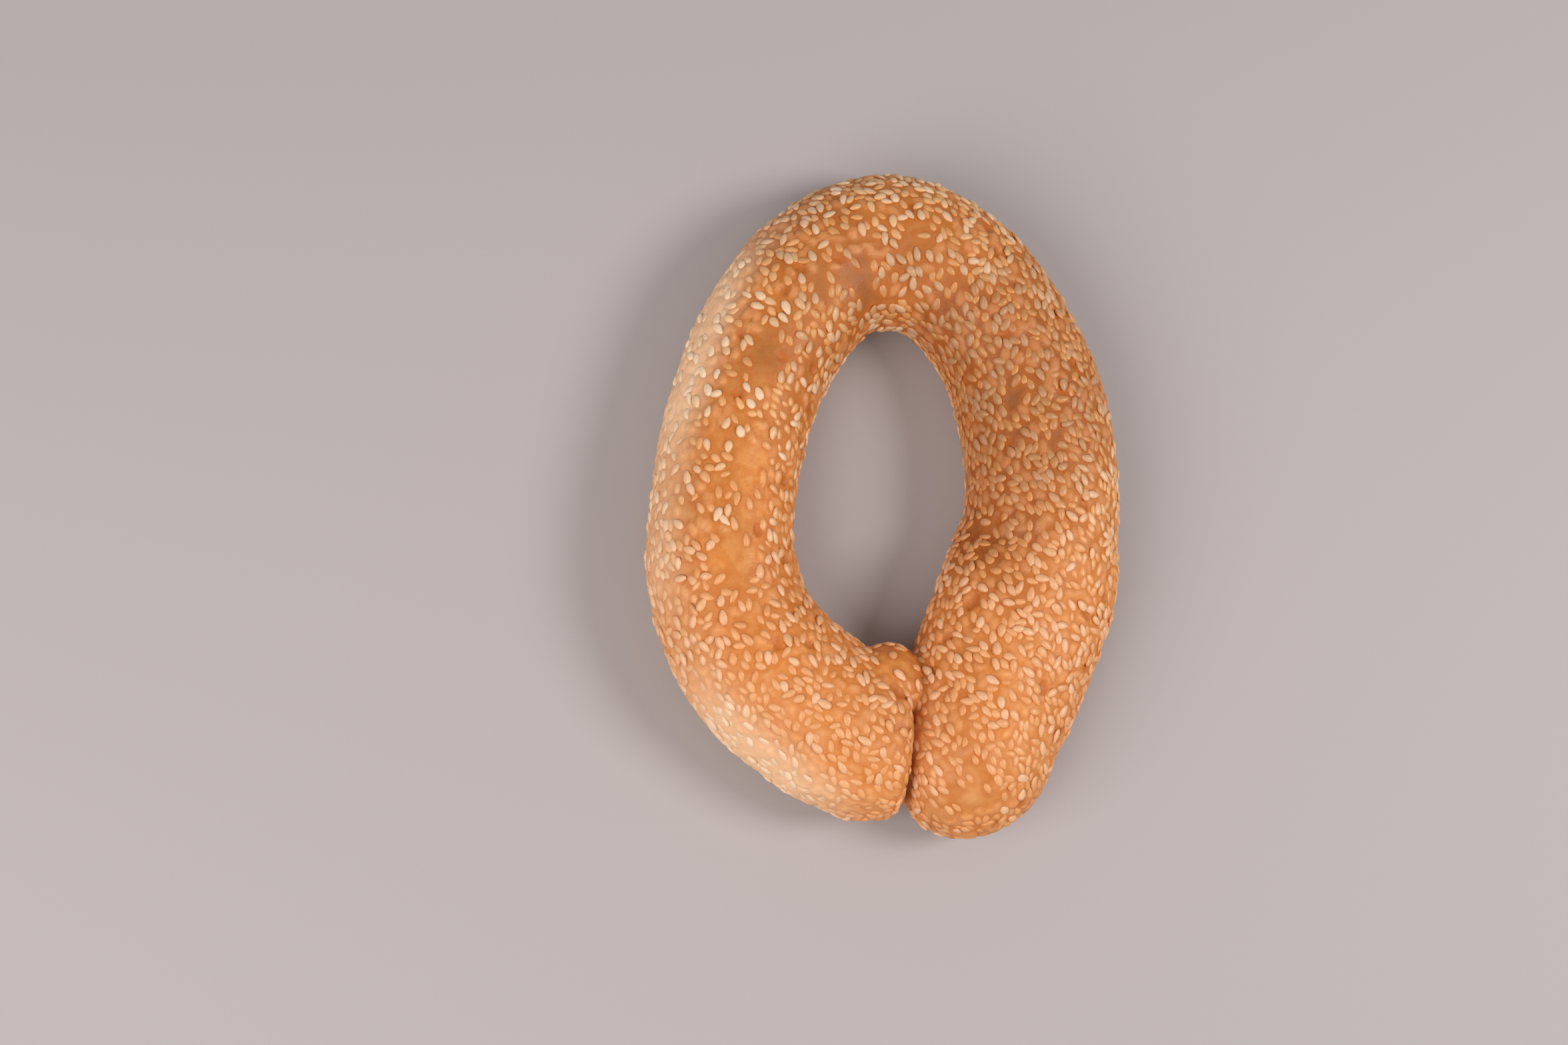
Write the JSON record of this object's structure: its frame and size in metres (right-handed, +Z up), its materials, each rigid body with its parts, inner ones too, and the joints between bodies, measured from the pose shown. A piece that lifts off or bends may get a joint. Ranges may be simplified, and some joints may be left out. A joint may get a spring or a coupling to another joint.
{
  "type": "simit",
  "caption": "Long ring of bread rolled from a rope of dough, its thick ends pressed together side by side, with a flat underside and sesame seeds all over the crust, eaten as a snack.",
  "frame": {"origin": "middle of the ring's bounding box in plan, on its flat underside", "axes": "+Z up from the tray the ring was baked on, +Y along the ring away from its joined ends, +X across it"},
  "size_m": [0.1068, 0.1484, 0.0285],
  "materials": {
    "simit": "golden brown baked crust with cream sesame seeds, satin"
  },
  "bodies": {
    "root": {"simit": "simit"}
  },
  "joints": []
}
